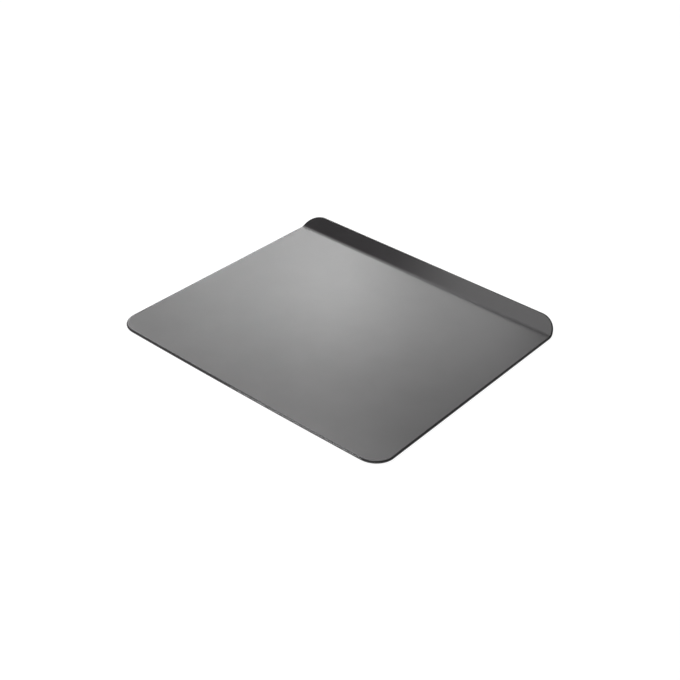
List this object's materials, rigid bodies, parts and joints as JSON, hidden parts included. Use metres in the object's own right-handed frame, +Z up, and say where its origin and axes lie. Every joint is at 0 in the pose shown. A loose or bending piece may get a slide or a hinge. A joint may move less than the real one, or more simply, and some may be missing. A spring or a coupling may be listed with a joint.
{
  "type": "insulated cookie sheet",
  "caption": "Flat insulated cookie sheet: coated top sheet with rounded corners, open edges and a turned-up grip flange, hemmed round a lower sheet that closes an air gap.",
  "frame": {"origin": "on the plane that the sheet rests on, under the middle of its bounding box", "axes": "+X along the flange, +Y from the open edge towards the flange, +Z up out of the cooking face"},
  "size_m": [0.4064, 0.3625, 0.0187],
  "materials": {
    "nonstick_coating": "dark grey non-stick coating, satin",
    "bare_aluminium": "mill finish, satin"
  },
  "bodies": {
    "root": {"top_sheet": "nonstick_coating", "bottom_sheet": "bare_aluminium"}
  },
  "joints": []
}
